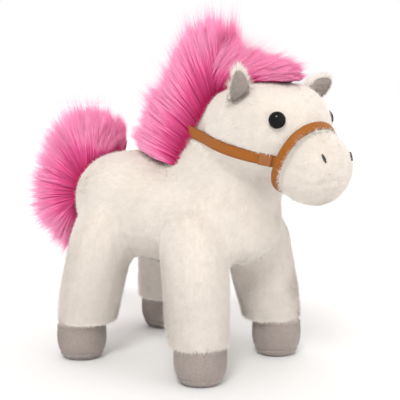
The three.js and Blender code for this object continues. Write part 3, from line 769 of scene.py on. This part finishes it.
# Hooves: grey short pile, with a side wall round the leg's filling and a padded sole under it.
# The wall is sewn to the leg above and to the sole below, where the low seam draws the cloth in.
hoof_seam, seam_clear = 0.0060, 0.0006
hoof_nap_density, hoof_nap_length, hoof_nap_width, hoof_nap_lean = 8, 0.0018, 0.0003, 48
hoof_nap_from, hoof_nap_to = 0.0018, 0.026
round_hoof = 64
hoof_profile = [
    (0.0001, 0.0004), (0.0080, 0.0004), (0.0116, 0.0011), (0.0140, 0.0027), (0.0153, 0.0044),
    (0.0157, 0.0053), (0.0148, hoof_seam), (0.0160, 0.0067), (0.0170, 0.0092), (0.0177, 0.0130),
    (0.0179, 0.0180), (0.0176, 0.0240), (0.0172, 0.0300), (0.0001, 0.0310),
]
grey_cloth = Surface("grey_cloth", Roughness=0.95, Sheen_Weight=0.2)
grey_cloth.speckle(260, (0.44, 0.38, 0.35), (0.54, 0.46, 0.43))
# hooves' grey pile: the darker root colour is painted shade at the foot of the strands
grey_pile = fibre_with_painted_shade("grey_pile", (0.42, 0.36, 0.335), (0.58, 0.50, 0.46), (0.68, 0.595, 0.555),
                  Roughness=0.9, Sheen_Weight=0.2, Sheen_Roughness=0.5)
for number, leg in enumerate(hips):
    low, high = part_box(leg.replace("leg", "hoof_sole"))
    foot = (low + high) / 2
    turns = [s * 2 * math.pi / round_hoof for s in range(round_hoof)]
    points = np.array([
        [foot.x + r * math.cos(turn), foot.y + r * math.sin(turn), h]
        for r, h in hoof_profile for turn in turns
    ])
    faces = np.array(ring_faces(len(hoof_profile), round_hoof))
    facing = point_normals(points, faces)
    hoof = mesh_object(f"{leg}_hoof", points, faces, grey_cloth.material, facing)
    roots, root_normals = scatter(points, faces, facing, hoof_nap_density, 120 + number)
    height = roots[:, 2]
    shown = (height < hoof_nap_to) & (height > hoof_nap_from) & (np.abs(height - hoof_seam) > seam_clear)
    nap = short_pile(f"{leg}_hoof_nap", grey_pile, (roots[shown], root_normals[shown]), hoof_nap_length,
                     hoof_nap_width, hoof_nap_lean, np.array([0, 0, -1.0]), 130 + number)
    for piece in (hoof, nap):
        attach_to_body(piece, leg)
    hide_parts(leg.replace("leg", "hoof_wall"), leg.replace("leg", "hoof_sole"))

# Mane, forelock and tail: strips of long pink pile, drawn deep pink at the foot as painted shade, and pale at
# the tips, partly their own colour and partly painted highlight.
# The strips are sewn along the crest, over the brow and down the rump, and their pile is brushed up. It
# stands in a fan, parts into locks, and hides the cloth strip and the imported foot of the pile beneath it.
hair_width, hair_segments, hair_spin, hair_relief = 0.00038, 4, 0.3, 0.3
hair_least, hair_most, root_sink = 0.008, 0.064, 0.002
shortest_lock, lock_range, shortest_hair, hair_range = 0.84, 0.23, 0.74, 0.26
wisp_share, wisp_length = 0.12, 1.2
lock_bend, hair_bend, side_bend = 0.16, 0.03, 0.10
lock_draw, bend_back, lock_pull, lock_tone, hair_tone = 0.4, 0.5, 0.2, 0.5, 0.2
above_skin, skin_reach, form_reach, inner_share = 0.04, 0.09, 0.2, 0.65
lock_columns, core_depth, core_half = 3.5, 0.5, 0.55
core_rings, round_core = 25, 16
pink_cloth = Surface("pink_cloth", Roughness=0.9)
pink_cloth.speckle(300, (0.66, 0.03, 0.16), (0.80, 0.06, 0.25))
# pink pile: the deep pink root colour is painted shade at the foot of the hair; the pale tip colour is partly
# the pile's own colour and partly painted highlight along the outer hair
pink_pile = fibre_with_painted_shade("pink_pile", (0.52, 0.014, 0.11), (0.98, 0.15, 0.43), (1.0, 0.48, 0.71),
                  Roughness=0.7, Specular_IOR_Level=0.2)

# Each strip's roots and the tips above them, in mm from the horse's origin, and its half width at both.
# The sides of the mane come forward onto the neck, it narrows toward the brow, and the forelock arches down.
strips = {
    "mane": dict(
        roots=[(-16, 0, 152), (0, 0, 155), (11, 0, 165), (21, 0, 178), (29, 0, 190), (36, 0, 200)],
        tips=[(-62, 0, 166), (-58, 0, 182), (-46, 0, 206), (-22, 0, 232), (10, 0, 252), (42, 0, 262)],
        root_half=0.034, tip_half=0.028, forward=0.021, arch=0.0, narrowing=0.5,
        nodes=["mane", "forelock"], locks=56, gather=0.4, count=46000, seed=5,
    ),
    "forelock": dict(
        roots=[(31, 0, 196), (42, -1, 202), (54, -2, 204), (64, -3, 203), (72, -4, 202)],
        tips=[(41, 0, 262), (56, -1, 249), (82, -4, 237), (104, -8, 222), (104, -9, 208)],
        root_half=0.017, tip_half=0.018, forward=0.0, arch=0.32, narrowing=0.0,
        nodes=["mane", "forelock"], locks=36, gather=0.4, count=24000, seed=6,
    ),
    "tail": dict(
        roots=[(-68, 0, 146), (-76, 0, 146), (-83, 0, 144), (-89, 0, 140), (-94, 0, 134), (-98, 0, 126),
               (-101, 0, 116), (-102, 0, 104)],
        tips=[(-60, 0, 176), (-70, 0, 194), (-88, 0, 202), (-112, 0, 192), (-134, 0, 170), (-150, 0, 138),
              (-154, 0, 104), (-124, 0, 60)],
        root_half=0.018, tip_half=0.022, forward=0.0, arch=0.0, narrowing=0.0,
        nodes=["tail"], locks=70, gather=0.35, count=46000, seed=8,
    ),
}


def along_line(points, share):
    """The place at each share of a smooth line through some points, and the way it runs there."""
    line = np.array(points) / 1000 + np.array(origin)
    ends = np.concatenate([2 * line[:1] - line[1:2], line, 2 * line[-1:] - line[-2:-1]])
    reach = share * (len(line) - 1)
    k = np.minimum(reach.astype(int), len(line) - 2)
    t = (reach - k)[:, None]
    a, b, c, d = (ends[k + j] for j in range(4))
    place = 0.5 * (2 * b + (c - a) * t + (2 * a - 5 * b + 4 * c - d) * t**2 + (3 * b - a - 3 * c + d) * t**3)
    run = 0.5 * ((c - a) + 2 * (2 * a - 5 * b + 4 * c - d) * t + 3 * (3 * b - a - 3 * c + d) * t**2)
    return place, unit(run)


def chance_of(keys, count):
    """Some random numbers from 0 to 1 for each whole-number key."""
    waves = [np.abs(np.sin((keys + 1) * (12.9898 + 7.31 * k))) for k in range(count)]
    return np.stack([np.modf(wave * 43758.5453)[0] for wave in waves], 1)


def plume(strip):
    """Long pile: rooted in a strip of the skin and fanned out to the CAD form, its locks drawn together."""
    points, faces = [], []
    for node in strip["nodes"]:
        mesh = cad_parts[node].data
        faces += [[len(points) + i for i in p.vertices] for p in mesh.polygons]
        points += [v.co for v in mesh.vertices]
    form = BVHTree.FromPolygons(points, faces)
    spread, count = np.random.default_rng(strip["seed"]), strip["count"]
    along, across = spread.uniform(0, 1, count), 2 * spread.beta(2, 2, count) - 1
    row, column = np.floor(along * strip["locks"]), np.floor((across + 1.001) * lock_columns)
    lot = chance_of(row + 1000 * column, 5)
    lock_along = (row + lot[:, 0]) / strip["locks"]
    lock_across = (column + lot[:, 1]) / lock_columns - 1

    def ray(share, aside):
        """Where a hair at these shares of the strip leaves the skin, its way up, and the way across."""
        start, run = along_line(strip["roots"], share)
        goal, _ = along_line(strip["tips"], share)
        side, growth = unit(np.cross(run, goal - start)), unit(goal - start)
        aside = aside * (1 - strip["narrowing"] * share**3)
        start = start + side * (aside * strip["root_half"])[:, None]
        start = start + np.abs(aside[:, None]) ** 1.5 * [strip["forward"], 0, 0]
        goal = goal + side * (aside * strip["tip_half"])[:, None]
        found = [
            pile_tree.ray_cast(Vector(p + g * above_skin), Vector(-g), skin_reach)[0]
            for p, g in zip(start, growth)
        ]
        start = np.array([p if f is None else f for p, f in zip(start, found)]) - growth * root_sink
        return start, unit(goal - start), side

    root, heading, side = ray(along, across)
    _, lock_heading, _ = ray(lock_along, lock_across)
    gathered = unit(heading * (1 - strip["gather"]) + lock_heading * strip["gather"])

    # a hair is as long as the form is deep there, with shorter and longer locks and a few wisps past the rest
    inner_root, inner_heading, _ = ray(along, across * inner_share)
    exits = [
        form.ray_cast(Vector(r + h * form_reach), Vector(-h))[3]
        for r, h in zip(inner_root, inner_heading)
    ]
    size = form_reach - np.array([form_reach if e is None else e for e in exits])
    keep = size > hair_least
    size = np.minimum(size, hair_most)
    size = size * (shortest_lock + lock_range * lot[:, 2])
    size = size * (shortest_hair + hair_range * spread.uniform(size=count) ** 0.5)
    size = size * np.where(spread.uniform(size=count) < wisp_share, wisp_length, 1.0)
    bend = (lot[:, 2:5] - 0.5) * lock_bend + spread.normal(size=(count, 3)) * hair_bend
    bend = bend + side * across[:, None] * side_bend + np.array([strip["arch"], 0, -strip["arch"]])
    drawn = unit(heading * (1 - lock_draw) + gathered * lock_draw)
    heading = drawn - bend * bend_back + (gathered - heading) * lock_pull
    facing = side * np.sign(across)[:, None]
    tone = 0.5 + lock_tone * (lot[:, 3] - 0.5) + hair_tone * spread.normal(size=count)
    return [values[keep] for values in (root, facing, heading, size, bend, tone)]


def strip_core(name, strip):
    """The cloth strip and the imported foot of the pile: a closed form along the roots, half the pile deep."""
    share = np.linspace(0, 1, core_rings)
    start, run = along_line(strip["roots"], share)
    goal, _ = along_line(strip["tips"], share)
    side, growth = unit(np.cross(run, goal - start)), (goal - start) * core_depth
    swell = np.sqrt(np.clip(1 - (2 * share - 1) ** 6, 0.02, 1))[:, None]
    wide = side * strip["root_half"] * core_half * (1 - strip["narrowing"] * share[:, None] ** 3) * swell
    points = []
    for k in range(round_core):
        turn = k * 2 * math.pi / round_core
        points.append(start + growth * (0.5 + 0.5 * math.cos(turn) * swell) + wide * math.sin(turn))
    faces = ring_faces(core_rings, round_core, capped=True)
    made = mesh_object(name, np.stack(points, 1).reshape(-1, 3), faces, pink_cloth.material)
    face_outward(made)
    return made


for name, strip in strips.items():
    root, facing, heading, size, bend, tone = plume(strip)
    hair = strands(f"{name}_hair", pink_pile, root, facing, heading, size, hair_width, hair_segments, bend,
                   tone, hair_spin, hair_relief, 0.0)
    core = strip_core(f"{name}_strip", strip)
    for piece in (core, hair):
        if name == "forelock":
            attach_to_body(piece, "head")
        elif name == "tail":
            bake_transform(piece)
        else:
            attach(piece, "upper_neck")
    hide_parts(name)

# Closing seam: the trunk is stuffed through a gap in its belly seam, which is then sewn shut by hand.
# Ladder stitches of white thread cross the gap and are drawn together on one running thread.
thread_radius, round_thread = 0.00042, 8
stitch_count, stitch_pitch = 6, 0.005
thread = Surface("white_thread", Roughness=0.7)
thread.speckle(1200, (0.62, 0.57, 0.50), (0.80, 0.76, 0.70))
low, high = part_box("closing_stitches")
middle = (low + high) / 2
threads = [(Vector((low.x, middle.y, middle.z)), Vector((high.x, middle.y, middle.z)))]
for k in range(stitch_count):
    x = low.x + stitch_pitch / 2 + k * stitch_pitch
    threads.append((Vector((x, low.y, middle.z)), Vector((x, high.y, middle.z))))
seam_points, seam_faces = [], []
for a, b in threads:
    up = Vector((0, 0, 1))
    side = (b - a).normalized().cross(up)
    base = len(seam_points)
    for end in (a, b):
        for q in range(round_thread):
            turn = q * 2 * math.pi / round_thread
            seam_points.append(end + (side * math.cos(turn) + up * math.sin(turn)) * thread_radius)
    seam_faces += [[base + i for i in face] for face in ring_faces(2, round_thread, capped=True)]
ladder = mesh_object("belly_stitches", seam_points, seam_faces, thread.material)
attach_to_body(ladder, "trunk")
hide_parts("closing_stitches")

# Stage: a plain pale floor, soft lamps all round and the photograph's camera.
# The world lights the object at a plain level, and what the camera and mirrors see of it is white.
floor_half = 6
floor_surface = Surface("floor", Roughness=0.9)
floor_surface.speckle(3, (0.86, 0.86, 0.86), (0.89, 0.89, 0.89))
floor_points = [(x * floor_half, y * floor_half, 0) for x, y in ((-1, -1), (1, -1), (1, 1), (-1, 1))]
floor = mesh_object("floor", floor_points, [[0, 1, 2, 3]], floor_surface.material)

world = bpy.data.worlds.new("studio")
bpy.context.scene.world = world
world.use_nodes = True
nodes, links = world.node_tree.nodes, world.node_tree.links
sky, backdrop = nodes["Background"], nodes.new("ShaderNodeBackground")
sky.inputs["Color"].default_value, sky.inputs["Strength"].default_value = (1.0, 0.975, 0.94, 1), 0.78
backdrop.inputs["Color"].default_value, backdrop.inputs["Strength"].default_value = (1, 1, 1, 1), 1.0
path, choose = nodes.new("ShaderNodeLightPath"), nodes.new("ShaderNodeMixShader")
either = nodes.new("ShaderNodeMath")
either.operation, either.use_clamp = "ADD", True
links.new(path.outputs["Is Camera Ray"], either.inputs[0])
links.new(path.outputs["Is Glossy Ray"], either.inputs[1])
links.new(either.outputs[0], choose.inputs[0])
links.new(sky.outputs[0], choose.inputs[1])
links.new(backdrop.outputs[0], choose.inputs[2])
links.new(choose.outputs[0], nodes["World Output"].inputs["Surface"])

# each lamp's place, the angle in degrees that it spans, and its power
lamp_target = Vector((0, 0, 0.12))
lamps = {
    "key": ((0.5, -0.95, 1.15), 18, 1.42),
    "fill": ((1.4, 0.0, 0.5), 90, 0.7),
    "rear": ((-1.0, 1.1, 1.0), 90, 0.85),
}
for name, (place, angle, power) in lamps.items():
    lamp = bpy.data.objects.new(name, bpy.data.lights.new(name, "SUN"))
    lamp.data.energy, lamp.data.angle = power, math.radians(angle)
    lamp.location = Vector(place)
    lamp.rotation_euler = (lamp_target - lamp.location).to_track_quat("-Z", "Y").to_euler()
    bpy.context.scene.collection.objects.link(lamp)

camera_place, camera_down = Vector((0.460, -0.592, 0.210)), math.radians(6.84)
look = Vector((-0.6 * math.cos(camera_down), 0.8 * math.cos(camera_down), -math.sin(camera_down)))
camera = bpy.data.objects.new("camera", bpy.data.cameras.new("camera"))
camera.data.lens, camera.data.sensor_width = 90, 36
camera.location = origin + camera_place
camera.rotation_euler = look.to_track_quat("-Z", "Y").to_euler()
bpy.context.scene.collection.objects.link(camera)
bpy.context.scene.camera = camera
bpy.context.scene.view_settings.view_transform = "Standard"
